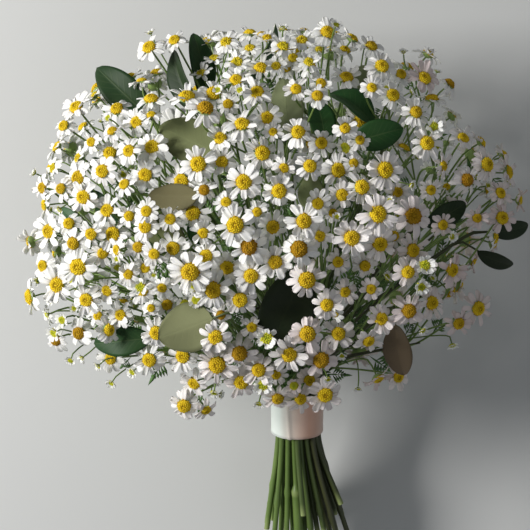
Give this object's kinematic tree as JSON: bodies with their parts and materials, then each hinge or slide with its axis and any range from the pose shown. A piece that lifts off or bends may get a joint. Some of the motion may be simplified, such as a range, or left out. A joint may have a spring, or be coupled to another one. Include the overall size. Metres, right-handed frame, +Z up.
{
  "type": "bunch of daisies",
  "caption": "Round hand-tied bunch of white daisies with broad dark leaves, its stems gripped by a satin ribbon band, lying on its side.",
  "frame": {"origin": "bottom centre of the bounding box of the lying bunch, on the surface that it lies on", "axes": "+Z up, away from the surface; +Y along the bunch towards the flower head; -Y towards the cut stem ends; +X across it"},
  "size_m": [0.2534, 0.2692, 0.1753],
  "materials": {
    "petal": "matte",
    "leaf": "satin",
    "satin": "satin"
  },
  "bodies": {
    "root": {"daisy_spray_01": "petal", "daisy_spray_02": "petal", "daisy_spray_03": "petal", "daisy_spray_04": "petal", "daisy_spray_05": "petal", "daisy_spray_06": "petal", "daisy_spray_07": "petal", "daisy_spray_08": "petal", "daisy_spray_09": "petal", "daisy_spray_10": "petal", "daisy_spray_11": "petal", "daisy_spray_12": "petal", "daisy_spray_13": "petal", "daisy_spray_14": "petal", "daisy_spray_15": "petal", "daisy_spray_16": "petal", "daisy_spray_17": "petal", "daisy_spray_18": "petal", "daisy_spray_19": "petal", "daisy_spray_20": "petal", "daisy_spray_21": "petal", "daisy_spray_22": "petal", "daisy_spray_23": "petal", "daisy_spray_24": "petal", "daisy_spray_25": "petal", "daisy_spray_26": "petal", "daisy_spray_27": "petal", "daisy_spray_28": "petal", "daisy_spray_29": "petal", "daisy_spray_30": "petal", "daisy_spray_31": "petal", "daisy_spray_32": "petal", "daisy_spray_33": "petal", "daisy_spray_34": "petal", "daisy_spray_35": "petal", "daisy_spray_36": "petal", "leafy_stem_01": "leaf", "leafy_stem_02": "leaf", "leafy_stem_03": "leaf", "leafy_stem_04": "leaf", "leafy_stem_05": "leaf", "leafy_stem_06": "leaf", "leafy_stem_07": "leaf", "leafy_stem_08": "leaf", "leafy_stem_09": "leaf", "leafy_stem_10": "leaf", "leafy_stem_11": "leaf", "leafy_stem_12": "leaf", "ribbon_band": "satin"}
  },
  "joints": []
}
